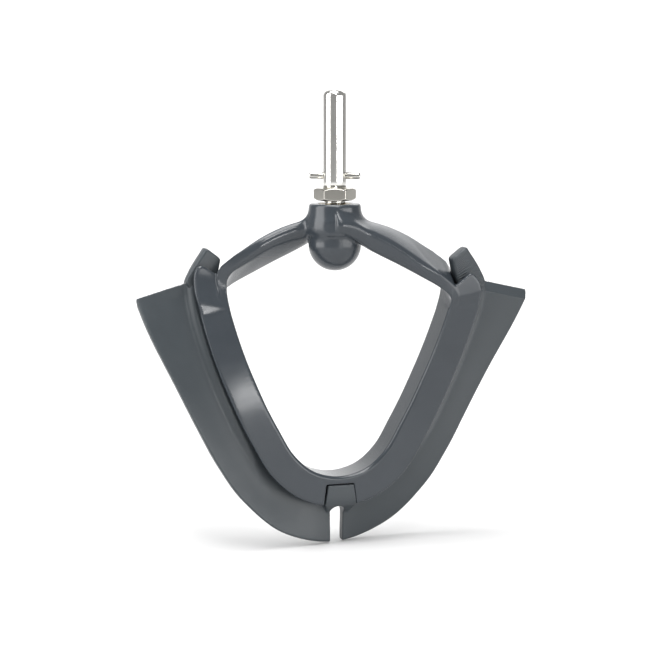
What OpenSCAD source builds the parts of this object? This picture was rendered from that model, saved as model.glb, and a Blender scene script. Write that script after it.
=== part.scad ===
// Creaming beater of a planetary stand mixer: a moulded hub with two tangent arms, a V-shaped
// loop of channel section, and a flexible wiper edge held in the channel.
// Z is the drive axis. The loop lies across X, its front face looks along -Y, and the whole
// paddle repeats itself when it is turned half a turn about Z.

/* [Drive shaft] */
// Diameter of the drive shaft (3/8 inch rod)
shaft_d = 9.525; // [9.525:0.001:9.53]
// Height of the rounded shaft end above the collar
shaft_top = 46; // [44:0.5:50]
// Radius that rounds the shaft end
shaft_round = 2.5; // [1:0.5:3]
// Diameter of the shaft's threaded stretch, with the thread's ridges evened out
thread_d = 9.2; // [9.1:0.01:9.22]
// Height above the collar at which the plain stretch of the shaft begins
plain_start = 14; // [13.5:0.1:14]
// Depth of the shaft end below the collar top
shaft_bottom = 17; // [15:0.5:18]
// Diameter of the slotted cross pin
pin_d = 2.8; // [2.5:0.1:3]
// Length of the cross pin
pin_length = 20.8; // [19:0.1:22]
// Height of the cross pin's axis above the collar
pin_height = 11.3; // [10.5:0.1:13]
// Turn of the cross pin about the drive axis
pin_turn = -25; // [-90:5:90]

/* [Lock nut] */
// Width of the nut across its flats
nut_af = 15; // [14:0.5:17]
// Thickness of the nut
nut_height = 5; // [4:0.5:5.5]
// Gap between the nut and the collar
nut_gap = 1.3; // [0.5:0.1:2]
// Turn of the nut about the drive axis
nut_turn = -17.5; // [-30:0.5:30]

/* [Hub] */
// Diameter of the hub and of its collar
hub_d = 21.6; // [20:0.1:24]
// Height of the hub from its round bottom to the collar top
hub_height = 27.5; // [26:0.5:30]
// Diameter of the threaded insert
insert_d = 13; // [12:0.5:14]
// Height of the threaded insert
insert_height = 18; // [17:0.5:19]
// Depth of the hub's bore, with room below the shaft end
bore_depth = 21.5; // [20.5:0.5:22]

/* [Loop] */
// Depth of the channel section, front to back
rail_depth = 16; // [15:0.5:17]
// Height of the channel section, from the inner face to the lips of its walls
rail_height = 12.6; // [12:0.1:13.5]
// Thickness of the channel's web
web = 3; // [2.5:0.1:3.5]
// Thickness of the channel's walls
wall = 2.4; // [2:0.1:2.6]
// How far the top of each rail leans out of the loop's plane
rail_lean = 13; // [8:0.5:14]
// Height below the collar at which the lean begins
lean_start = -98; // [-102:1:-92]

/* [Wiper] */
// Thickness of the flaps
flap_t = 4.8; // [4:0.1:5]
// Width of the slot that parts the two flaps
slot_w = 5.6; // [5:0.1:7]
// Height of the slot's round end, below the collar
slot_top = -124.5; // [-126:0.5:-124]
// Thickness of the finger tabs
hook_t = 6.2; // [5:0.1:6.4]
// Place of the right finger tab's middle, front to back
hook_y = -13.3; // [-13.4:0.1:-13.2]

/* [Hidden] */
// The origin is the middle of the shaft's plain stretch, which the mixer's socket holds.
collar_z = -(plain_start + shaft_top - shaft_round) / 2;
shaft_r = shaft_d / 2;
thread_r = thread_d / 2;
run_gap = 0.05;
pin_r = pin_d / 2;
// The shaft's hole squeezes the middle of the split pin by this much in radius
pin_squeeze = 0.16;
// How far from its middle the pin stays squeezed
pin_hold = 4.9;
hub_r = hub_d / 2;
// Radius that rounds the collar's rim
rim_r = 1;
half_depth = rail_depth / 2;
// Height over which the rails come to their full lean
lean_height = 62;
// Place of the arm's front face where it meets the right rail's front wall
front_limit = -20;
// Inner edge of the loop, from the bottom to the top of the right rail, as [x, z]
inner_edge = [[-11, -109.2], [0, -111.8], [11, -109.2], [19.5, -102], [25.5, -92], [31.8, -79.4],
              [38.5, -61.9], [42.8, -45.4], [44, -34], [44, -23], [43.8, -12]];
// Lip of the right flap, opposite the same stations of the inner edge
lip_edge = [[-24, -134.2], [0, -140.4], [24, -134.2], [40.9, -120], [51.3, -105.3], [59, -91],
            [68.2, -71.6], [76.9, -52.2], [81.8, -37], [86, -22], [90, -8]];
// How far the lip trails behind its rail at those stations
lip_trail = [-4.4, 0, 5, 6, 6.5, 6.5, 5.8, 4.6, 3.6, 3.6, 3.6];
// Stations between two neighbouring points
rail_steps = 5;
last_station = 7;

// Point of a Catmull-Rom curve through the list p, at t steps past its second point
function curve(p, t) =
    let (i = min(floor(t), len(p) - 4), f = t - i,
         a = p[i], b = p[i + 1], c = p[i + 2], d = p[i + 3])
    0.5 * (2 * b + (c - a) * f + (2 * a - 5 * b + 4 * c - d) * f * f
           + (3 * b - a - 3 * c + d) * f * f * f);
function unit(v) = v / norm(v);
// Lean of a rail out of the loop's plane at height z; the left rail leans the other way
function lean(z) =
    let (u = (z - lean_start) / lean_height)
    u < 0 ? 0 : -rail_lean * (u < 1 ? u * u : 1 + 2 * (u - 1) - 5 * pow(min(u, 1.2) - 1, 2));
// Outward normal of the inner edge, in the loop's plane
function outward(t) =
    let (d = unit(curve(inner_edge, t + 0.02) - curve(inner_edge, max(t - 0.02, 0))))
    [d.y, -d.x];
// Point of a rail's section at station t, out by n from the inner edge and back by w
function rail_point(t, n, w) =
    let (p = curve(inner_edge, t), q = p + n * outward(t))
    [q.x, lean(p.y) + w, q.y];
function half_turn(p) = [-p.x, -p.y, p.z];

// Closed skin over rings of equal size. A ring is a strip: its first half runs out along one face
// and its second half runs back along the other, so each end is closed by pairing the two.
module skin(rings) {
    n = len(rings[0]);
    m = len(rings);
    sides = [for (i = [0:m - 2]) for (j = [0:n - 1]) each
        [[i * n + j, (i + 1) * n + j, i * n + (j + 1) % n],
         [i * n + (j + 1) % n, (i + 1) * n + j, (i + 1) * n + (j + 1) % n]]];
    pairs = [for (j = [0:n / 2 - 2]) each [[j, j + 1, n - 1 - j], [j + 1, n - 2 - j, n - 1 - j]]];
    first = pairs;
    last = [for (f = pairs) [for (k = [2:-1:0]) (m - 1) * n + f[k]]];
    polyhedron(points = [for (r = rings) each r], faces = concat(sides, first, last), convexity = 8);
}

module drive_shaft() color("silver") translate([0, 0, collar_z]) difference() {
    rotate_extrude($fn = 96) {
        translate([0, -shaft_bottom]) square([thread_r, shaft_bottom + plain_start]);
        translate([0, plain_start]) square([shaft_r, shaft_top - shaft_round - plain_start]);
        square([shaft_r - shaft_round, shaft_top]);
        intersection() {
            translate([shaft_r - shaft_round, shaft_top - shaft_round]) circle(r = shaft_round, $fn = 64);
            square([shaft_r, shaft_top]);
        }
    }
    translate([0, 0, pin_height]) rotate([0, 0, pin_turn]) rotate([0, 90, 0])
        cylinder(r = pin_r - pin_squeeze, h = 2 * shaft_d, center = true, $fn = 48);
}

// Free end of the cross pin, with its lead-in chamfer
module pin_end() rotate_extrude($fn = 48)
    polygon([[0, pin_hold - 0.2], [pin_r - pin_squeeze, pin_hold - 0.2], [pin_r, pin_hold],
             [pin_r, pin_length / 2 - 0.6], [pin_r - 0.35, pin_length / 2], [0, pin_length / 2]]);

module drive_pin() color("gainsboro")
    translate([0, 0, collar_z + pin_height]) rotate([0, 0, pin_turn]) rotate([0, 90, 0]) difference() {
        union() {
            cylinder(r = pin_r - pin_squeeze, h = 2 * pin_hold, center = true, $fn = 48);
            pin_end();
            mirror([0, 0, 1]) pin_end();
        }
        cylinder(r = pin_r / 2, h = 2 * pin_length, center = true, $fn = 24);
        translate([pin_r / 4, -0.25, -pin_length]) cube([pin_r, 0.5, 2 * pin_length]);
    }

module lock_nut() color("silver") translate([0, 0, collar_z + nut_gap]) rotate([0, 0, nut_turn]) {
    corner_r = nut_af / sqrt(3);
    chamfer = corner_r - nut_af / 2 + 0.15;
    difference() {
        intersection() {
            linear_extrude(nut_height) circle(r = corner_r, $fn = 6);
            rotate_extrude($fn = 96)
                polygon([[0, 0], [corner_r - chamfer, 0], [corner_r + 0.01, chamfer * tan(30)],
                         [corner_r + 0.01, nut_height - chamfer * tan(30)],
                         [corner_r - chamfer, nut_height], [0, nut_height]]);
        }
        translate([0, 0, -1]) cylinder(r = thread_r + run_gap, h = nut_height + 2, $fn = 96);
    }
}

module insert_outline(grow) rotate_extrude($fn = 96)
    polygon([[0, -insert_height - grow], [insert_d / 2 + grow, -insert_height - grow],
             [insert_d / 2 + grow, -12 + grow], [insert_d / 2 - 0.8 + grow, -12 + grow],
             [insert_d / 2 - 0.8 + grow, -9 - grow], [insert_d / 2 + grow, -9 - grow],
             [insert_d / 2 + grow, 0], [0, 0]]);

module hub_insert() color("darkgoldenrod") translate([0, 0, collar_z]) difference() {
    insert_outline(0);
    translate([0, 0, -insert_height - 1]) cylinder(r = thread_r + run_gap, h = insert_height + 2, $fn = 96);
}

// Channel of the right half, from the bottom to the top of the rail. Near the top its front wall
// stops leaning and goes on upright, in the plane of the arm's front face.
function channel_ring(t) =
    let (w = half_depth, v = half_depth - wall, h = rail_height,
         f = max(-half_depth, front_limit - lean(curve(inner_edge, t).y)), g = f + wall)
    [rail_point(t, h, g), rail_point(t, web, g), rail_point(t, web, v), rail_point(t, h, v),
     rail_point(t, h, w), rail_point(t, 0, w), rail_point(t, 0, f), rail_point(t, h, f)];

module channel() {
    stations = [for (i = [0:rail_steps * (last_station + 1)]) i / rail_steps];
    right = [for (t = stations) channel_ring(t)];
    // the left half repeats the right one, with its points in the opposite order round the section
    left = [for (i = [len(right) - 1:-1:1])
        let (r = right[i]) [for (k = [3, 2, 1, 0, 7, 6, 5, 4]) half_turn(r[k])]];
    skin(concat(left, right));
}

// Space over one rail, above the trimmed ends of its front and back walls
module over_rail() {
    front = [[38, -30], [45.4, -33.6], [51.8, -28.6], [53, -28.6], [55.6, -31.4], [58.5, -37.5],
             [75, -40], [75, 0], [38, 0]];
    back = [[38, -22], [47.5, -28.7], [53.5, -25.2], [55.8, -25.4], [57.6, -28.5], [60, -36],
            [75, -38], [75, 0], [38, 0]];
    translate([0, -10, 0]) rotate([90, 0, 0]) linear_extrude(30) polygon(front);
    translate([0, 20, 0]) rotate([90, 0, 0]) linear_extrude(30) polygon(back);
}

// Sections of the right arm, from inside the hub to the bend into the rail, each as
// [back top, front top, front bottom, back bottom]
arm_sections = [
    [[-6, -3, -5], [-6, -8.5, -5], [-6, -8, -11], [-6, -3, -11]],
    [[-3, -3.2, -5], [-3, -10.2, -5], [-3, -9, -11.4], [-3, -2.8, -11.4]],
    [[0, -3.4, -5.1], [0, -11.1, -5.2], [0, -9.8, -12.2], [0, -2.6, -11.7]],
    [[6, -3.5, -5.4], [6, -12.4, -8.2], [6, -10.6, -15.6], [6, -2.5, -12.1]],
    [[14, -3.5, -7], [14, -14.3, -12.1], [14, -11.8, -20.6], [14, -2.5, -13.2]],
    [[22, -3.5, -9.5], [22, -16.1, -16.5], [22, -13.6, -24.8], [22, -2.5, -15.6]],
    [[30, -3.5, -13.1], [30, -17.9, -22.1], [30, -15.9, -29.2], [30, -2.6, -19.5]],
    [[38, -3.5, -17.9], [38, -19.7, -27.6], [38, -18.6, -34], [37.6, -3, -24]],
    [[43.6, -3.9, -22], [42.6, -20, -31.2], [41.8, -19.7, -36.6], [41.8, -3.7, -26.7]],
    [[47.4, -4.4, -25.4], [45.3, -20, -34], [43.8, -19.8, -39.4], [44.1, -4.6, -30.4]],
    [[48.4, -5, -30.6], [46.6, -19.6, -38.4], [43.9, -18, -43.2], [44.4, -5.2, -36]],
    arm_foot(5.6), arm_foot(5.1), arm_foot(4.6)];
arm_steps = 3;
// Section of the arm's foot, just inside the rail's web
function arm_foot(t) =
    let (w = half_depth - 0.2)
    [rail_point(t, web - 0.1, w), rail_point(t, web - 0.1, -w), rail_point(t, 0.1, -w),
     rail_point(t, 0.1, w)];

module arm() skin([for (i = [0:arm_steps * (len(arm_sections) - 3)])
    [for (k = [2, 3, 0, 1]) curve([for (s = arm_sections) s[k]], i / arm_steps)]]);

module hub_body() rotate_extrude($fn = 96) {
    translate([0, -hub_height + hub_r]) square([hub_r, hub_height - hub_r - rim_r]);
    translate([0, -2 * rim_r]) square([hub_r - rim_r, 2 * rim_r]);
    intersection() {
        translate([hub_r - rim_r, -rim_r]) circle(r = rim_r, $fn = 32);
        translate([0, -rim_r]) square([hub_r, rim_r]);
    }
    intersection() {
        translate([0, -hub_height + hub_r]) circle(r = hub_r, $fn = 96);
        translate([0, -hub_height]) square([hub_r, hub_r + 1]);
    }
}

// Outline of the base tab, in the loop's plane
function tab_outline(grow) =
    [[-5.5 - grow, -115.4 + grow], [5.5 + grow, -115.4 + grow],
     [7 + grow, -126], [-7 - grow, -126]];

module paddle_frame() color("dimgray") translate([0, 0, collar_z]) difference() {
    union() {
        difference() {
            channel();
            over_rail();
            rotate([0, 0, 180]) over_rail();
        }
        arm();
        rotate([0, 0, 180]) arm();
        hub_body();
    }
    insert_outline(0.02);
    translate([0, 0, -bore_depth]) cylinder(r = thread_r + 0.3, h = bore_depth, $fn = 96);
    rotate([90, 0, 0]) linear_extrude(3 * half_depth, center = true) polygon(tab_outline(0.3));
}

// Section of the wiper at station t of the right half
function wiper_side(t) =
    let (up = max(t - 5.5, 0) * 0.35,
         inner = curve(inner_edge, t + up), lip = curve(lip_edge, t), run = unit(lip - inner),
         reach = norm(lip - inner), y = lean(inner.y), trail = curve(lip_trail, t),
         spots = [web + 0.5 + 4 * up, rail_height - 2, rail_height + 0.3 * (reach - rail_height), reach],
         sway = [0, 0, 0.18, 1])
    [for (k = [0:3])
        let (q = inner + run * spots[k]) [q.x, y + (lean(lip.y) - y + trail) * sway[k], q.y]];
// The last ring is cut on a slant: its front face ends lower than its back face.
function wiper_ring(t) =
    let (slant = t == last_station ? 0.3 : 0, front = wiper_side(t - slant), back = wiper_side(t),
         h = [0, flap_t / 2, 0])
    concat([for (k = [0:3]) front[k] - h], [for (k = [3:-1:0]) back[k] + h]);

// Finger tab above the flap's end, as lines across it: inner and outer end [x, z], and how far
// the front of the line lies below its back
hook_lines = [[[48.1, -31.1], [59.6, -32.9], 3.8], [[46.7, -28], [57.6, -27.7], 0],
              [[45.5, -22.4], [51.5, -17.8], 0]];
function hook_ring(line) =
    let (points = [for (k = [0:3]) line[0] + (line[1] - line[0]) * k / 3], drop = line[2] / 2)
    concat([for (k = [0:3]) [points[k].x, hook_y - hook_t / 2, points[k].y - drop]],
           [for (k = [3:-1:0]) [points[k].x, hook_y + hook_t / 2, points[k].y + drop]]);

// Both flaps with their finger tabs, from the left tab through the bottom to the right one
module wiper_flaps() {
    flap = [for (i = [0:rail_steps * last_station]) wiper_ring(i / rail_steps)];
    right = concat(flap, [for (line = hook_lines) hook_ring(line)]);
    left = [for (i = [len(right) - 1:-1:1])
        let (r = right[i]) [for (k = [7:-1:0]) half_turn(r[k])]];
    skin(concat(left, right));
}

module slot() translate([0, 0, slot_top - slot_w / 2]) rotate([90, 0, 0]) linear_extrude(40, center = true) {
    circle(d = slot_w, $fn = 48);
    translate([-slot_w / 2, -40]) square([slot_w, 40]);
}

module wiper_blade() color("darkslategray") translate([0, 0, collar_z]) {
    difference() {
        wiper_flaps();
        slot();
    }
    difference() {
        rotate([90, 0, 0]) linear_extrude(2 * half_depth - 0.1, center = true) polygon(tab_outline(0));
        slot();
    }
}

drive_shaft();
drive_pin();
lock_nut();
hub_insert();
paddle_frame();
wiper_blade();
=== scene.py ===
"""Looks of the stand mixer creaming beater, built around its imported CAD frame.

Shapes are worked out in millimetres in the beater's own terms, with z = 0 on the collar's top,
and are moved into the row frame, in metres, as they are made. The paddle repeats itself after
half a turn about the drive axis, so only its right half is described.
"""
import math

import bmesh
import bpy
from mathutils import Matrix, Vector


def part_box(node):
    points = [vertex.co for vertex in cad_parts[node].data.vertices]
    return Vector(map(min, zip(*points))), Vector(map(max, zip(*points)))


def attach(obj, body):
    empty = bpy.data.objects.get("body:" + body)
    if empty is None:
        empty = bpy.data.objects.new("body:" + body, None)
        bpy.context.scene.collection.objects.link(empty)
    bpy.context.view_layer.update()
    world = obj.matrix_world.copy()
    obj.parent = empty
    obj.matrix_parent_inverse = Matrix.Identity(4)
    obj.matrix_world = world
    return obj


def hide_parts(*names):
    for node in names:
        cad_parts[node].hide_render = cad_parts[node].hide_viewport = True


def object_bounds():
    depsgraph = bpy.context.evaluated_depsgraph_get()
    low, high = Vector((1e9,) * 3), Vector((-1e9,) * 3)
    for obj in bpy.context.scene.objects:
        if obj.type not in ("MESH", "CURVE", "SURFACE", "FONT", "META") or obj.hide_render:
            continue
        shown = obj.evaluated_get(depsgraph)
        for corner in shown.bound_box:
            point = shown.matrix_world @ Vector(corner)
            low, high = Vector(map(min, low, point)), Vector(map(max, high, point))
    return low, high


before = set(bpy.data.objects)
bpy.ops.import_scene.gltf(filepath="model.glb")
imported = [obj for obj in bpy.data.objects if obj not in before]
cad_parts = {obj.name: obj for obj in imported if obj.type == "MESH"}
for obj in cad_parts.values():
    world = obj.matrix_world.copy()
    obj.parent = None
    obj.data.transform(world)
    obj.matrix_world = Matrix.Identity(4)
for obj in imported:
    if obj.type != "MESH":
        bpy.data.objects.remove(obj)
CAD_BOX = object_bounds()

MM = 0.001
COLLAR_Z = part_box("hub_insert")[1][2]
FLOOR_GAP = 0.0006
FLOOR_Z = CAD_BOX[0][2] - FLOOR_GAP

# ---------------------------------------------------------------- the loop's driving dimensions
HALF_DEPTH = 8.0
RAIL_HEIGHT = 12.6
WEB = 3.0
WALL = 2.4
RAIL_LEAN = 13.0
LEAN_START = -98.0
LEAN_HEIGHT = 62.0
FLAP_T = 4.8
SLOT_W = 5.6
SLOT_TOP = -124.5
# A station t counts the points of INNER_EDGE and LIP_EDGE from the one at x = 0, where t is 0.
# The edges are [x, z] points, and LIP_TRAIL is how far the lip lies behind the rail at each.
LAST_STATION = 7.0
INNER_EDGE = [(-11, -109.2), (0, -111.8), (11, -109.2), (19.5, -102), (25.5, -92), (31.8, -79.4),
              (38.5, -61.9), (42.8, -45.4), (44, -34), (44, -23), (43.8, -12)]
LIP_EDGE = [(-24, -134.2), (0, -140.36), (24, -134.2), (40.9, -120), (51.3, -105.3), (59, -91),
            (68.2, -71.6), (76.9, -52.2), (81.8, -37), (86, -22), (90, -8)]
LIP_TRAIL = [-4.4, 0, 5, 6, 6.5, 6.5, 5.8, 4.6, 3.6, 3.6, 3.6]


def blend(a, b, f):
    """Point a share f of the way from a to b."""
    return tuple(p + (q - p) * f for p, q in zip(a, b))


def curve(points, t):
    """Catmull-Rom curve through a list of numbers or tuples, t steps past its second point."""
    if not isinstance(points[0], tuple):
        return curve([(p,) for p in points], t)[0]
    i = min(int(t), len(points) - 4)
    f = t - i
    return tuple(
        0.5 * (2 * b + (c - a) * f + (2 * a - 5 * b + 4 * c - d) * f * f
               + (3 * b - a - 3 * c + d) * f ** 3)
        for a, b, c, d in zip(*points[i:i + 4]))


def lean(z):
    """y of the right rail's middle at height z, which is negative because the rail leans forwards."""
    u = (z - LEAN_START) / LEAN_HEIGHT
    if u < 0:
        return 0.0
    if u < 1:
        return -RAIL_LEAN * u * u
    return -RAIL_LEAN * (1 + 2 * (u - 1) - 5 * (min(u, 1.2) - 1) ** 2)


def inner_point(t, n):
    """Point of the loop's plane at station t, n outside its inner edge, and the inner edge's height."""
    step = 0.02
    x, z = curve(INNER_EDGE, t)
    x2, z2 = curve(INNER_EDGE, t + step)
    x1, z1 = curve(INNER_EDGE, max(t - step, 0))
    dx, dz = x2 - x1, z2 - z1
    size = math.hypot(dx, dz)
    return x + n * dz / size, z - n * dx / size, z


def rail_point(t, n, w):
    """The same point on the leaning rail, w behind the rail's middle."""
    x, z, z_in = inner_point(t, n)
    return (x, lean(z_in) + w, z)


def half_turn(p):
    return (-p[0], -p[1], p[2])


def ramp(value, start, end):
    """0 at start, 1 at end, with a smooth rise between."""
    f = min(max((value - start) / (end - start), 0.0), 1.0)
    return f * f * (3 - 2 * f)


def span(low, high, steps):
    return [low + (high - low) * i / steps for i in range(steps + 1)]


def circle_ring(r, z, steps=96):
    angles = (2 * math.pi * i / steps for i in range(steps))
    return [(r * math.cos(a), r * math.sin(a), z) for a in angles]


# ---------------------------------------------------------------- making meshes
def mesh_object(name, points, faces):
    mesh = bpy.data.meshes.new(name)
    mesh.from_pydata(points, [], faces)
    mesh.validate()
    made = bpy.data.objects.new(name, mesh)
    bpy.context.scene.collection.objects.link(made)
    return made


def loft(name, rings, strip_ends=False):
    """Skin over rings of equal size, closed at both ends by one face each, or by a strip of faces."""
    n = len(rings[0])
    points = [p for ring in rings for p in ring]
    faces = [(i * n + j, i * n + (j + 1) % n, (i + 1) * n + (j + 1) % n, (i + 1) * n + j)
             for i in range(len(rings) - 1) for j in range(n)]
    last = (len(rings) - 1) * n
    if strip_ends:
        for j in range(n // 2 - 1):
            strip = (j, j + 1, n - 2 - j, n - 1 - j)
            faces += [strip, tuple(last + k for k in strip[::-1])]
    else:
        faces += [tuple(reversed(range(n))), tuple(last + j for j in range(n))]
    made = mesh_object(name, points, faces)
    face_outwards(made)
    return made


def face_outwards(piece):
    work = bmesh.new()
    work.from_mesh(piece.data)
    bmesh.ops.recalc_face_normals(work, faces=work.faces)
    work.to_mesh(piece.data)
    work.free()


def lathe(name, profile, steps=96):
    """Ring of a closed [radius, z] profile turned about the drive axis."""
    rings = [[(r * math.cos(a), r * math.sin(a), z) for r, z in profile]
             for a in (2 * math.pi * i / steps for i in range(steps))]
    n = len(profile)
    points = [p for ring in rings for p in ring]
    faces = []
    for i in range(steps):
        here, ahead = i * n, (i + 1) % steps * n
        faces += [(here + j, here + (j + 1) % n, ahead + (j + 1) % n, ahead + j) for j in range(n)]
    made = mesh_object(name, points, faces)
    work = bmesh.new()
    work.from_mesh(made.data)
    bmesh.ops.remove_doubles(work, verts=work.verts, dist=1e-5)
    bmesh.ops.dissolve_degenerate(work, edges=work.edges, dist=1e-6)
    bmesh.ops.recalc_face_normals(work, faces=work.faces)
    work.to_mesh(made.data)
    work.free()
    return made


def turned_copy(piece):
    """The same piece after half a turn about the drive axis."""
    copy = piece.copy()
    copy.data = piece.data.copy()
    copy.data.transform(Matrix.Rotation(math.pi, 4, "Z"))
    bpy.context.scene.collection.objects.link(copy)
    return copy


def apply_modifier(piece, kind, **settings):
    modifier = piece.modifiers.new(kind.lower(), kind)
    for key, value in settings.items():
        setattr(modifier, key, value)
    graph = bpy.context.evaluated_depsgraph_get()
    done = bpy.data.meshes.new_from_object(piece.evaluated_get(graph))
    piece.modifiers.clear()
    piece.data = done


def cut(piece, tool):
    """Takes the tool's space out of the piece."""
    apply_modifier(piece, "BOOLEAN", operation="DIFFERENCE", solver="EXACT", object=tool)


def remove(piece):
    bpy.data.objects.remove(piece)


def fuse(name, pieces, voxel, smooth, keep, ease=None, ease_steps=0):
    """One even skin around all the pieces, with its edges eased and its face count cut to a share.

    ease gives, for a point, how strongly the skin is softened there, from 0 to 1.
    """
    work = bmesh.new()
    for piece in pieces:
        work.from_mesh(piece.data)
    mesh = bpy.data.meshes.new(name)
    work.to_mesh(mesh)
    work.free()
    for piece in pieces:
        remove(piece)
    made = bpy.data.objects.new(name, mesh)
    bpy.context.scene.collection.objects.link(made)
    apply_modifier(made, "REMESH", mode="VOXEL", voxel_size=voxel)
    apply_modifier(made, "SMOOTH", factor=0.5, iterations=smooth)
    if ease is not None:
        group = made.vertex_groups.new(name="ease")
        for vertex in made.data.vertices:
            strength = ease(*vertex.co)
            if strength > 0:
                group.add([vertex.index], strength, "REPLACE")
        apply_modifier(made, "SMOOTH", factor=0.5, iterations=ease_steps, vertex_group="ease")
        made.vertex_groups.clear()
    if keep < 1:
        apply_modifier(made, "DECIMATE", ratio=keep)
    return made


def settle(piece, body):
    """Moves a piece from millimetres below the collar into the row frame and hangs it on a body."""
    piece.data.transform(Matrix.Translation((0, 0, COLLAR_Z)) @ Matrix.Scale(MM, 4))
    piece.data.shade_smooth()
    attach(piece, body)


def shade(piece, material):
    piece.data.materials.clear()
    piece.data.materials.append(material)


# ---------------------------------------------------------------- paddle frame
# Sections of the right arm, from inside the hub to the bend into the rail, each as
# back top, front top, front bottom, back bottom.
ARM_SECTIONS = [
    ((-6, -3, -5), (-6, -9.3, -5.2), (-6, -9, -10.6), (-6, -3, -11)),
    ((-3, -3.2, -5), (-3, -12.2, -5.8), (-3, -11.4, -11), (-3, -2.8, -11.4)),
    ((0, -1, -5.1), (0, -13.1, -6.2), (0, -12, -12), (0, -1, -11.7)),
    ((5, 3.5, -5.3), (5, -13.2, -7.4), (5, -11.4, -14.4), (5, 3.5, -12.1)),
    ((10, 0.4, -5.9), (10, -13.4, -10.1), (10, -11.1, -18.1), (10, 0.6, -12.5)),
    ((14, -2.5, -7.0), (14, -14.3, -12.1), (14, -11.8, -20.6), (14, -1.9, -13.2)),
    ((22, -3.5, -9.5), (22, -16.1, -16.5), (22, -13.6, -24.8), (22, -2.5, -15.6)),
    ((30, -3.5, -13.1), (30, -17.9, -22.1), (30, -15.9, -29.2), (30, -2.6, -19.5)),
    ((38, -3.5, -17.9), (38, -19.7, -27.6), (38, -18.6, -34.0), (37.6, -3.0, -24.0)),
    ((43.6, -3.9, -22.0), (42.6, -19.9, -31.2), (41.9, -19.6, -36.8), (41.8, -3.7, -26.7)),
    ((47.4, -4.4, -25.4), (45.3, -20.0, -34.0), (43.7, -19.8, -39.2), (44.0, -4.4, -30.4)),
    ((48.6, -4.8, -30.6), (46.6, -19.9, -38.4), (43.5, -18.4, -42.8), (44.0, -4.6, -36.0)),
]
ARM_STEPS = 10
ARM_EASE_STEPS = 140
FOOT_START = 6.15
TOP_STEPS = 12
SIDE_STEPS = 8
CHAMFER = 0.9
CROWN = 1.1
FILLET_R = 4.0
COLLAR_R = 10.7
ARM_BACK_Y = -4.6
BACK_EASE = 1.6
TAB_GAP = 0.45
POCKET_R = 6.55
POCKET_BOTTOM = -18.1
VOXEL = 0.34


def rail_quad(t):
    """Corners of the rail's web at station t, in the order of the arm's sections."""
    z_in = inner_point(t, 0)[2]
    front = min(front_face(inner_point(t, n)[0], z_in) - lean(z_in) for n in (0, WEB))
    return (rail_point(t, WEB, HALF_DEPTH), rail_point(t, WEB, front),
            rail_point(t, 0, front), rail_point(t, 0, HALF_DEPTH))


def collar_fillet(x, y, z):
    """Rise of an arm's top face where it meets the collar. There is none down in the loop."""
    gap = math.hypot(x, y) - COLLAR_R
    if gap >= FILLET_R or z < -30:
        return 0.0
    gap = max(gap, 0.0)
    return FILLET_R - math.sqrt(FILLET_R ** 2 - (FILLET_R - gap) ** 2)


def web_ring(quad):
    """Section of an arm or a web, with both edges on the loop's inner side chamfered.

    The arms' faces are slightly crowned; the rail's are flat.
    """
    back_top, front_top, front_low, back_low = quad
    crown = CROWN * ramp(front_low[0], 39, 30) * ramp(front_low[2], -60, -45)
    ring = []
    for start, end, low, high, steps, bulge in (
            (back_top, front_top, 0, 0, TOP_STEPS, (0, 0.7)),
            (front_top, front_low, 0, CHAMFER, SIDE_STEPS, (-1, 0)),
            (front_low, back_low, CHAMFER, CHAMFER, TOP_STEPS, (0, -0.7)),
            (back_low, back_top, CHAMFER, 0, SIDE_STEPS, (1, 0))):
        length = math.dist(start, end)
        shares = span(low / length, 1.0 - high / length, steps)
        for f in shares if high else shares[:-1]:
            x, y, z = blend(start, end, f)
            if start is back_top:
                z += collar_fillet(x, y, z)
            rise = 4 * f * (1 - f) * crown
            ring.append((x, y + bulge[0] * rise, z + bulge[1] * rise))
    return ring


def web_piece():
    """The right arm and the web of its rail, past the loop's bottom into the left half."""
    sections = ARM_SECTIONS + [rail_quad(t) for t in (FOOT_START, FOOT_START - 0.4, FOOT_START - 0.8)]
    rings = []
    for i in range(ARM_STEPS * (len(sections) - 3) + 1):
        rings.append(web_ring(tuple(curve([section[c] for section in sections], i / ARM_STEPS)
                                    for c in range(4))))
    for t in span(FOOT_START - 0.45, 0, 90):
        rings.append(web_ring(rail_quad(t)))
    for t in span(0.05, 0.8, 12):
        quad = [half_turn(p) for p in rail_quad(t)]
        rings.append(web_ring((quad[1], quad[0], quad[3], quad[2])))
    return loft("web", rings)


def arm_plane(x):
    """y of the upright plane that holds an arm's front face and the top of its rail's front wall."""
    return -11.2 - 0.225 * min(x, 38) - 0.012 * max(x - 38, 0)


def front_face(x, z_in):
    return max(lean(z_in) - HALF_DEPTH, arm_plane(x))


def back_face(x, z_in):
    """y of the back wall's outer side, which eases into the arm's upright back near the loop."""
    y = lean(z_in) + HALF_DEPTH
    short = ARM_BACK_Y - y
    return y + 0.5 * (short + math.hypot(short, BACK_EASE)) * ramp(x, 50, 43)


# Top of each wall, as pairs of [x, z] across it: on the inner edge and on the rim.
FRONT_TOP = [((43.45, -41.3), (56.6, -39.6)), ((43.7, -38.6), (57.0, -36.0)),
             ((43.85, -36.6), (56.4, -32.9)), ((44.0, -35.4), (55.5, -31.1)),
             ((44.2, -34.7), (54.0, -29.2)), ((44.4, -34.2), (52.6, -28.3)),
             ((44.5, -33.9), (51.4, -28.8)), ((44.7, -33.7), (48.6, -31.0)),
             ((44.9, -33.6), (46.0, -33.1))]
BACK_TOP = [((43.45, -41.3), (56.9, -39.2)), ((43.7, -38), (57.7, -35.0)),
            ((44.0, -34.5), (57.7, -30.6)), ((44.6, -32), (57.1, -27.4)),
            ((45, -30.6), (55.9, -25.3)), ((45.4, -29.8), (54.2, -24.7)),
            ((45.8, -29.2), (52.2, -25.7)), ((46.3, -28.8), (50.0, -27.3)),
            ((46.8, -28.6), (48.4, -28.3))]
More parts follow.
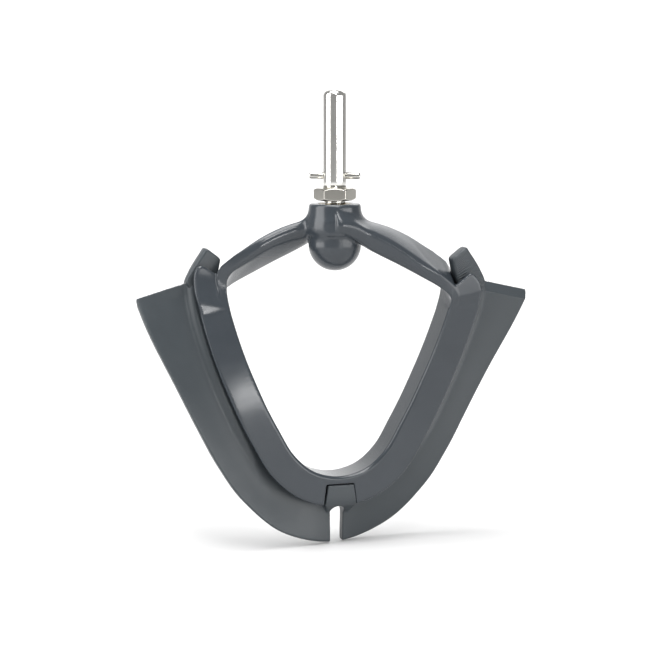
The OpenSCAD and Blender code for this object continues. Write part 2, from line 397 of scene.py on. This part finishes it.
RIM_BEVEL = 0.55
WALL_START = -0.9
WALL_TOP_START = 6.2
WALL_STEPS = 120
WALL_TOP_STEPS = 8


def wall_ring(inner, rim, z_in, face, inwards):
    """Section of a wall from the loop's inner edge to its bevelled rim.

    face gives y on its outer side for x and for the height of the loop's inner edge, and
    inwards is 1 or -1, the way along y from the outer side to the hidden one.
    """
    length = math.dist(inner, rim)
    bevel = min(RIM_BEVEL, length * 0.3) / length
    outer, hidden = [], []
    for f in span(CHAMFER / length, 1.0 - bevel, 6):
        x, z = blend(inner, rim, f)
        y = face(x, z_in)
        outer.append((x, y, z))
        hidden.append((x, y + inwards * WALL, z))
    x, z = rim
    y = face(x, z_in)
    tip = [(x, y + inwards * RIM_BEVEL, z), (x, y + inwards * (WALL - RIM_BEVEL), z)]
    return outer + tip + hidden[::-1]


def wall_edge(t, n):
    """Point [x, z] of the loop's plane, as inner_point gives it, with t below 0 in the left half."""
    x, z, _ = inner_point(abs(t), n)
    return (math.copysign(1, t) * x, z)


def wall_piece(name, top, face, inwards):
    rings = []
    for i in range(WALL_STEPS + 1):
        t = WALL_START + (WALL_TOP_START - WALL_START) * i / WALL_STEPS
        z_in = inner_point(abs(t), 0)[2]
        rings.append(wall_ring(wall_edge(t, 0), wall_edge(t, RAIL_HEIGHT), z_in, face, inwards))
    pairs = [(wall_edge(t, 0), wall_edge(t, RAIL_HEIGHT)) for t in (5.9, WALL_TOP_START)]
    flat = [a + b for a, b in pairs + top + [top[-1]]]
    for i in range(1, WALL_TOP_STEPS * (len(flat) - 3) + 1):
        xa, za, xb, zb = curve(flat, i / WALL_TOP_STEPS)
        rings.append(wall_ring((xa, za), (xb, zb), za, face, inwards))
    return loft(name, rings)


def hub_profile():
    """Outline of the hub with its collar, the belt that carries the arms, and the insert's pocket."""
    pocket = [(POCKET_R, 0.0), (POCKET_R, POCKET_BOTTOM), (5.05, POCKET_BOTTOM), (5.05, -21.5),
              (0.01, -21.5)]
    ball_r, ball_z = 10.8, -16.7
    ball = [(ball_r * math.cos(a), ball_z + ball_r * math.sin(a))
            for a in span(-math.pi / 2 + 0.001, -0.05, 24)]
    belt = [(10.75, -13.0), (11.2, -12.7), (11.7, -12.3), (11.85, -11.7), (11.85, -7.0),
            (11.7, -6.2)]
    collar = [(11.4, -5.4), (11.15, -4.6), (10.85, -3.0), (10.65, -1.1), (10.5, -0.5),
              (10.15, -0.12), (9.7, 0.0)]
    return pocket + ball + belt + collar


def tab_outline(grow):
    """Base tab in the loop's plane, clockwise from its top left corner."""
    top, low = (5.5 + grow, -115.4 + grow), (7.1 + grow, -127.0)
    return [(-top[0], top[1]), top, low, (-low[0], low[1])]


def prism(name, outline, y_low, y_high):
    return loft(name, [[(x, y, z) for x, z in outline] for y in (y_low, y_high)])


def arm_softness(x, y, z):
    """Strength of the easing on the arms and where they flow into the hub."""
    r = math.hypot(x, y)
    side = abs(x) / max(r, 0.1)
    height = ramp(z, -17, -14) * ramp(z, -1.6, -3.5)
    joint = height * ramp(r, 8, 9.5) * ramp(r, 19, 14) * ramp(side, 0.45, 0.8)
    arm = 0.45 * ramp(r, 11.5, 14) * ramp(abs(x), 43, 36) * ramp(z, -42, -36)
    return max(joint, arm)


def make_frame():
    """Arms, webs, walls and hub in one skin, with a window in the walls for the base tab."""
    web = web_piece()
    bore = loft("bore", [circle_ring(POCKET_R, z, 64) for z in (POCKET_BOTTOM, 2)])
    cut(web, bore)
    remove(bore)
    front = wall_piece("front_wall", FRONT_TOP, front_face, 1)
    back = wall_piece("back_wall", BACK_TOP, back_face, -1)
    window = prism("window", tab_outline(TAB_GAP), -20, 20)
    for wall in (front, back):
        cut(wall, window)
    remove(window)
    right = [web, front, back]
    parts = right + [turned_copy(piece) for piece in right]
    parts.append(lathe("hub", hub_profile()))
    return fuse("paddle_frame_shell", parts, VOXEL, 5, 0.5, arm_softness, ARM_EASE_STEPS)


# ---------------------------------------------------------------- wiper
WIPER_SPANS = 40
WIPER_STEPS = 150
END_SLANT = 0.3


def wiper_side(t):
    """Middle line of the wiper at station t, from its root in the channel to its lip.

    Each point comes with its distance from the loop's inner edge.
    """
    up = max(t - 5.5, 0) * 0.35
    xi, zi = curve(INNER_EDGE, t + up)
    xl, zl = curve(LIP_EDGE, t)
    reach = math.dist((xi, zi), (xl, zl))
    ux, uz = (xl - xi) / reach, (zl - zi) / reach
    y_in = lean(zi)
    y_lip = lean(zl) + curve(LIP_TRAIL, t)
    root = WEB + 0.5 + 4 * up
    line = []
    for f in span(0.0, 1.0, WIPER_SPANS):
        n = root + (reach - root) * f
        g = max((n - RAIL_HEIGHT + 2) / (reach - RAIL_HEIGHT + 2), 0.0)
        sway = g * g * (1.9 - 0.9 * g)
        line.append((xi + ux * n, y_in + (y_lip - y_in) * sway, zi + uz * n, n))
    return line


def bead(t, n):
    """Extra half thickness of the wiper's root, which ends in a rounded shoulder outside the walls."""
    return 2.1 * ramp(t, 2.0, 4.0) * ramp(n, RAIL_HEIGHT + 4.2, RAIL_HEIGHT + 0.8)


def wiper_ring(t_front, t_back):
    """Section of the wiper with a rounded lip, between a front and a back station."""
    first, second = [], []
    for x, y, z, n in wiper_side(t_front):
        first.append((x, y - FLAP_T / 2 - bead(t_front, n), z))
    for x, y, z, n in wiper_side(t_back):
        second.append((x, y + FLAP_T / 2 + bead(t_back, n), z))
    nose = [blend(first[-1], second[-1], 0.14), blend(first[-1], second[-1], 0.86)]
    first[-1] = blend(first[-1], first[-2], 0.7)
    second[-1] = blend(second[-1], second[-2], 0.7)
    return first + nose + second[::-1]


# Base tab: height, half width and half depth of its level sections.
TAB_SECTIONS = [(-115.4, 5.5, 7.95), (-118, 5.9, 7.95), (-121, 6.35, 7.95), (-122.5, 6.55, 7.8),
                (-124.0, 6.6, 7.1), (-125.2, 6.0, 5.6), (-126.6, 5.2, 3.8), (-128.2, 4.4, 2.1)]
TAB_SHIFT = 0.35


def base_tab():
    corners = ((-1, -1), (1, -1), (1, 1), (-1, 1))
    return loft("tab", [[(TAB_SHIFT + i * w, j * d, z) for i, j in corners]
                        for z, w, d in TAB_SECTIONS])


def make_wiper():
    """Both flaps and the base tab in one skin, parted by the slot at the loop's bottom."""
    rings = [wiper_ring(t, t) for t in span(0.0, LAST_STATION - END_SLANT, WIPER_STEPS)]
    rings.append(wiper_ring(LAST_STATION - END_SLANT + 0.02, LAST_STATION))
    right = loft("flap", rings, strip_ends=True)
    left = turned_copy(right)
    tab = base_tab()
    slot_mid = SLOT_TOP - SLOT_W / 2
    arc = [(SLOT_W / 2 * math.cos(a), slot_mid + SLOT_W / 2 * math.sin(a))
           for a in span(0, math.pi, 24)]
    slot = prism("slot", arc + [(-SLOT_W / 2, -150), (SLOT_W / 2, -150)], -30, 30)
    for piece in (right, left, tab):
        cut(piece, slot)
    remove(slot)
    return fuse("wiper_flaps", [right, left, tab], VOXEL, 4, 0.5)


# Lines across the right finger tab from its hidden base to its top: inner end, outer end and how
# far the front of the line lies below its back
HOOK_LINES = [((49.0, -38.6), (56.6, -39.0), 3.0), ((48.8, -36.5), (58.8, -35.9), 3.0),
              ((48.3, -34.3), (59.9, -31.6), 1.6), ((47.4, -31.6), (57.6, -26.8), 0.4),
              ((46.4, -28.2), (55.0, -22.8), 0.0), ((45.8, -25.2), (53.2, -20.2), 0.0),
              ((45.2, -22.4), (51.5, -17.6), 0.0)]
HOOK_Y = -13.3
HOOK_T = 6.2
HOOK_STEPS = 30
HOOK_EASE = 1.3
RIB_DEPTH = 0.08
RIB_STEPS = 7


def hook_ring(inner, outer, drop, pull, flat, rib):
    """Line across a finger tab as a rounded flat section.

    drop is how far its front lies below its back, pull shortens it at both ends, flat thins
    it, and rib raises its front face.
    """
    length = math.dist(inner, outer)
    ring = []
    arc = [(1 - math.cos(a), math.sin(a)) for a in span(0.2, math.pi / 2, 5)]
    ends = [(pull + HOOK_EASE * u, v) for u, v in arc]
    stations = [(d / length, v) for d, v in ends] + [(0.5, 1.0)]
    stations += [(1 - d / length, v) for d, v in ends[::-1]]
    half = HOOK_T / 2 - flat
    ease = min(HOOK_EASE, half)
    for f, v in stations:
        x, z = blend(inner, outer, f)
        ring.append((x, HOOK_Y - (half - ease + ease * v) - rib * v, z - drop / 2))
    for f, v in stations[::-1]:
        x, z = blend(inner, outer, f)
        ring.append((x, HOOK_Y + (half - ease + ease * v), z + drop / 2))
    return ring


def make_hook():
    """The right finger tab, ribbed across its front and rounded at its top."""
    lines = [a + b + (drop,) for a, b, drop in HOOK_LINES]
    lines = [lines[0]] + lines + [lines[-1]]
    rings = []
    count = HOOK_STEPS * (len(lines) - 3)
    for i in range(count + 1):
        xa, za, xb, zb, drop = curve(lines, i / HOOK_STEPS)
        left = (count - i) / HOOK_STEPS * 3.0
        inset = max(HOOK_EASE - left, 0.0)
        pull = HOOK_EASE - math.sqrt(max(HOOK_EASE ** 2 - inset ** 2, 0.0))
        rib = RIB_DEPTH * (1 - math.cos(2 * math.pi * i / RIB_STEPS)) * ramp(left, 0.8, 1.6)
        tuck = 0.9 * ramp(i, 2.2 * HOOK_STEPS, 0)
        rings.append(hook_ring((xa, za), (xb, zb), drop, pull, 0.8 * pull + tuck, rib))
    return loft("finger_tab_right", rings)


# ---------------------------------------------------------------- shaft, cross pin and nut
SHAFT_R = 4.7625
SHAFT_TOP = 46.0
SHAFT_ROUND = 2.5
SHAFT_BOTTOM = -17.0
THREAD_CREST = 4.6
THREAD_DEPTH = 0.55
THREAD_PITCH = 25.4 / 24
THREAD_TOP = 6.2
PIN_HEIGHT = 11.3
PIN_TURN = math.radians(-25)
PIN_R = 1.4
PIN_HELD_R = 1.24
PIN_HALF = 10.4
NUT_AF = 15.0
NUT_LOW = 1.3
NUT_HEIGHT = 5.0
# The bore clears the plain rod, which the nut reaches when the paddle is screwed up.
NUT_BORE_R = 4.82
NUT_TURN = math.radians(-17.5)


def thread_ring(z, steps=96):
    """Level cut through a right-hand thread that fades out at both ends."""
    fade = ramp(z, SHAFT_BOTTOM, SHAFT_BOTTOM + 1.0) * ramp(z, THREAD_TOP, THREAD_TOP - 1.0)
    lead_in = 0.3 * (1 - ramp(z, SHAFT_BOTTOM, SHAFT_BOTTOM + 0.6))
    ring = []
    for i in range(steps):
        a = 2 * math.pi * i / steps
        f = (z / THREAD_PITCH - i / steps) % 1.0
        groove = min(abs(2 * f - 1) * 1.35, 1.0)
        r = THREAD_CREST - THREAD_DEPTH * fade * groove - lead_in
        ring.append((r * math.cos(a), r * math.sin(a), z))
    return ring


def lay_across(piece):
    """Turns a piece made along the drive axis into the cross pin's place."""
    piece.data.transform(Matrix.Translation((0, 0, PIN_HEIGHT)) @ Matrix.Rotation(PIN_TURN, 4, "Z")
                         @ Matrix.Rotation(math.pi / 2, 4, "Y"))


def make_shaft():
    """Rod with a rounded top end, a threaded lower end and the cross pin's hole."""
    rings = [thread_ring(z) for z in span(SHAFT_BOTTOM, THREAD_TOP, 270)]
    rings += [circle_ring(SHAFT_R, z) for z in span(THREAD_TOP + 0.15, SHAFT_TOP - SHAFT_ROUND, 14)]
    middle = SHAFT_R - SHAFT_ROUND
    for a in span(0, math.pi / 2, 14)[1:]:
        rings.append(circle_ring(middle + SHAFT_ROUND * math.cos(a),
                                 SHAFT_TOP - SHAFT_ROUND * (1 - math.sin(a))))
    rings += [circle_ring(r, SHAFT_TOP) for r in (1.4, 0.6)]
    made = loft("drive_shaft_turned", rings)
    hole = loft("hole", [circle_ring(PIN_HELD_R, z, 48) for z in (-9, 9)])
    lay_across(hole)
    cut(made, hole)
    remove(hole)
    return made


def arc_ring(r, z, start, end, steps):
    return [(r * math.cos(a), r * math.sin(a), z) for a in span(start, end, steps)]


def pin_ring(r, z):
    """C-shaped cut through a slotted spring pin, open towards +X."""
    gap, bore, steps = 0.25, 0.7, 44
    outer, inner = math.asin(gap / r), math.asin(gap / bore)
    return (arc_ring(r, z, outer, 2 * math.pi - outer, steps)
            + arc_ring(bore, z, 2 * math.pi - inner, inner, steps))


# Half of the cross pin, as [radius, distance from its middle], with a rounded end.
PIN_PROFILE = [(PIN_HELD_R, 4.7), (PIN_R, 4.95), (PIN_R, 7.0), (PIN_R, PIN_HALF - 0.65),
               (1.36, PIN_HALF - 0.45), (1.29, PIN_HALF - 0.28), (1.2, PIN_HALF - 0.12),
               (1.08, PIN_HALF - 0.03), (0.95, PIN_HALF)]


def make_pin():
    stations = [(r, -z) for r, z in PIN_PROFILE[::-1]] + PIN_PROFILE
    made = loft("cross_pin", [pin_ring(r, z) for r, z in stations])
    lay_across(made)
    return made


def make_nut():
    """Hexagon nut with both faces chamfered and its edges slightly rounded."""
    corner = NUT_AF / math.sqrt(3)
    hexagon = loft("hexagon", [circle_ring(corner, z, 6) for z in (NUT_LOW, NUT_LOW + NUT_HEIGHT)])
    face_r = NUT_AF / 2 - 0.15
    fall = (corner + 0.5 - face_r) * math.tan(math.radians(30))
    top = NUT_LOW + NUT_HEIGHT
    cone = lathe("cone", [(NUT_BORE_R, NUT_LOW - 0.001), (face_r, NUT_LOW - 0.001),
                          (corner + 0.5, NUT_LOW + fall), (corner + 0.5, top - fall),
                          (face_r, top + 0.001), (NUT_BORE_R, top + 0.001)])
    apply_modifier(hexagon, "BOOLEAN", operation="INTERSECT", solver="EXACT", object=cone)
    remove(cone)
    made = fuse("lock_nut_hex", [hexagon], 0.12, 3, 0.5)
    made.data.transform(Matrix.Rotation(NUT_TURN, 4, "Z"))
    return made


# ---------------------------------------------------------------- materials
def new_material(name, color, metallic, roughness):
    material = bpy.data.materials.new(name)
    material.use_nodes = True
    shader = material.node_tree.nodes["Principled BSDF"]
    shader.inputs["Base Color"].default_value = (*color, 1)
    shader.inputs["Metallic"].default_value = metallic
    shader.inputs["Roughness"].default_value = roughness
    return material, material.node_tree, shader


def noise(tree, scale, detail, stretch=(1, 1, 1)):
    """Noise in the piece's own space, with its scale in features per metre."""
    place = tree.nodes.new("ShaderNodeTexCoord")
    mapping = tree.nodes.new("ShaderNodeMapping")
    mapping.inputs["Scale"].default_value = stretch
    texture = tree.nodes.new("ShaderNodeTexNoise")
    texture.inputs["Scale"].default_value = scale
    texture.inputs["Detail"].default_value = detail
    tree.links.new(place.outputs["Object"], mapping.inputs["Vector"])
    tree.links.new(mapping.outputs["Vector"], texture.inputs["Vector"])
    return texture.outputs["Fac"]


def spread(tree, source, low, high):
    scale = tree.nodes.new("ShaderNodeMapRange")
    scale.inputs["To Min"].default_value = low
    scale.inputs["To Max"].default_value = high
    tree.links.new(source, scale.inputs["Value"])
    return scale.outputs["Result"]


def tint(tree, source, first, second):
    mix = tree.nodes.new("ShaderNodeMix")
    mix.data_type = "RGBA"
    mix.inputs["A"].default_value = (*first, 1)
    mix.inputs["B"].default_value = (*second, 1)
    tree.links.new(source, mix.inputs["Factor"])
    return mix.outputs["Result"]


def bump(tree, shader, source, strength, depth):
    node = tree.nodes.new("ShaderNodeBump")
    node.inputs["Strength"].default_value = strength
    node.inputs["Distance"].default_value = depth
    tree.links.new(source, node.inputs["Height"])
    tree.links.new(node.outputs["Normal"], shader.inputs["Normal"])


def moulded(name, dark, light, rough_low, rough_high, grain, grain_depth):
    """Moulded plastic or elastomer: faint cloudy tint, uneven gloss and a fine moulded grain."""
    material, tree, shader = new_material(name, dark, 0, rough_low)
    tree.links.new(tint(tree, noise(tree, 60, 3), dark, light), shader.inputs["Base Color"])
    tree.links.new(spread(tree, noise(tree, 240, 4), rough_low, rough_high), shader.inputs["Roughness"])
    bump(tree, shader, noise(tree, grain, 3), 0.25, grain_depth)
    return material


def metal(name, color, roughness, stretch):
    """Machined metal: fine marks that run round or along it."""
    material, tree, shader = new_material(name, color, 1, roughness)
    marks = noise(tree, 500, 4, stretch)
    tree.links.new(spread(tree, marks, roughness - 0.05, roughness + 0.08), shader.inputs["Roughness"])
    worn = tuple(c * 0.9 for c in color)
    tree.links.new(tint(tree, noise(tree, 90, 2), color, worn), shader.inputs["Base Color"])
    bump(tree, shader, marks, 0.06, 0.00001)
    return material


PLASTIC = moulded("frame_plastic_mat", (0.030, 0.036, 0.043), (0.038, 0.045, 0.053),
                  0.16, 0.24, 2600, 0.00001)
ELASTOMER = moulded("wiper_elastomer_mat", (0.032, 0.039, 0.045), (0.040, 0.048, 0.054),
                    0.34, 0.46, 3400, 0.00002)
STEEL = metal("stainless_mat", (0.80, 0.79, 0.76), 0.15, (0.1, 0.1, 4))
NUT_STEEL = metal("nut_mat", (0.64, 0.62, 0.57), 0.12, (0.3, 0.3, 1))
PIN_STEEL = metal("pin_mat", (0.50, 0.49, 0.46), 0.20, (1, 1, 1))
BRASS = metal("insert_brass_mat", (0.42, 0.34, 0.20), 0.30, (0.3, 0.3, 1))


# ---------------------------------------------------------------- assembly
frame_shell = make_frame()
settle(frame_shell, "paddle")
shade(frame_shell, PLASTIC)
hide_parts("paddle_frame")

wiper = make_wiper()
hook_right = make_hook()
hook_left = turned_copy(hook_right)
hook_left.name = "finger_tab_left"
for piece in (wiper, hook_right, hook_left):
    settle(piece, "paddle")
    shade(piece, ELASTOMER)
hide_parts("wiper_blade")

for piece, node, body, slot_name, material in (
        (make_shaft(), "drive_shaft", "shaft", "stainless", STEEL),
        (make_pin(), "drive_pin", "shaft", "spring_steel", PIN_STEEL),
        (make_nut(), "lock_nut", "nut", "stainless", NUT_STEEL)):
    settle(piece, body)
    shade(piece, material)
    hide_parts(node)

shade(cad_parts["hub_insert"], BRASS)


# ---------------------------------------------------------------- stage, light and camera
CAMERA_AZIMUTH = math.radians(17.5)
CAMERA_FAR = 0.850
CAMERA_RISE = 0.0594
AIM_DROP = 0.050


def make_backdrop():
    """Pale floor that curves up into a back wall, square to the camera."""
    near, depth, bend, high, wide = -3.5, 2.2, 0.9, 3.0, 6.0
    line = [(near, FLOOR_Z), (depth - bend, FLOOR_Z)]
    line += [(depth - bend + bend * math.sin(a), FLOOR_Z + bend * (1 - math.cos(a)))
             for a in span(0.1, math.pi / 2, 16)]
    line.append((depth, FLOOR_Z + high))
    points = [(x, y, z) for y, z in line for x in (-wide, wide)]
    faces = [(2 * i, 2 * i + 1, 2 * i + 3, 2 * i + 2) for i in range(len(line) - 1)]
    made = mesh_object("backdrop", points, faces)
    made.data.shade_smooth()
    material, _, shader = new_material("backdrop_mat", (0.60, 0.60, 0.60), 0, 0.8)
    shader.inputs["Emission Color"].default_value = (1, 1, 1, 1)
    shader.inputs["Emission Strength"].default_value = 0.12
    shade(made, material)
    made.rotation_euler = (0, 0, -CAMERA_AZIMUTH)


def area_light(name, place, aim, width, height, power):
    data = bpy.data.lights.new(name, "AREA")
    data.shape = "RECTANGLE"
    data.size = width
    data.size_y = height
    data.energy = power
    light = bpy.data.objects.new(name, data)
    light.location = place
    light.rotation_euler = (Vector(aim) - Vector(place)).to_track_quat("-Z", "Y").to_euler()
    bpy.context.scene.collection.objects.link(light)


def make_world(strength):
    world = bpy.data.worlds.new("studio")
    world.use_nodes = True
    back = world.node_tree.nodes["Background"]
    back.inputs["Color"].default_value = (1, 1, 1, 1)
    back.inputs["Strength"].default_value = strength
    bpy.context.scene.world = world


def make_camera():
    aim = Vector((0, 0, COLLAR_Z - AIM_DROP))
    camera = bpy.data.objects.new("camera", bpy.data.cameras.new("camera"))
    camera.location = (-CAMERA_FAR * math.sin(CAMERA_AZIMUTH),
                       -CAMERA_FAR * math.cos(CAMERA_AZIMUTH), COLLAR_Z + CAMERA_RISE)
    camera.rotation_euler = (aim - camera.location).to_track_quat("-Z", "Y").to_euler()
    camera.data.sensor_width = 36
    camera.data.lens = 115.6
    camera.data.shift_x = -0.0151
    camera.data.shift_y = 0.0
    bpy.context.scene.collection.objects.link(camera)
    bpy.context.scene.camera = camera


def around(azimuth, distance, height):
    """Place at an azimuth about the drive axis, in degrees from +X, at a height above the floor."""
    a = math.radians(azimuth)
    return (distance * math.cos(a), distance * math.sin(a), FLOOR_Z + height)


make_backdrop()
MIDDLE = (0, 0, COLLAR_Z - AIM_DROP)
area_light("top", around(200, 0.15, 1.25), MIDDLE, 0.8, 0.8, 15)
area_light("left", around(184, 1.0, 0.5), around(184, 0, 0.5), 0.75, 1.0, 10)
area_light("right", around(309, 1.15, 0.19), around(309, 0, 0.19), 0.95, 0.37, 4.5)
area_light("over_camera", around(262, 0.75, 1.3), MIDDLE, 0.5, 0.35, 5)
area_light("rail_glint", around(279, 1.1, 0.18), MIDDLE, 0.16, 0.13, 1.15)
area_light("arm_glint", around(266, 1.0, 0.94), MIDDLE, 0.2, 0.12, 1.8)
area_light("rim", around(45, 1.1, 0.9), MIDDLE, 0.9, 0.5, 1.8)
area_light("back", around(72, 0.9, 1.5), around(72, 2.1, 0.7), 1.6, 0.6, 40)
make_world(0.32)
make_camera()
bpy.context.scene.view_settings.view_transform = "Standard"
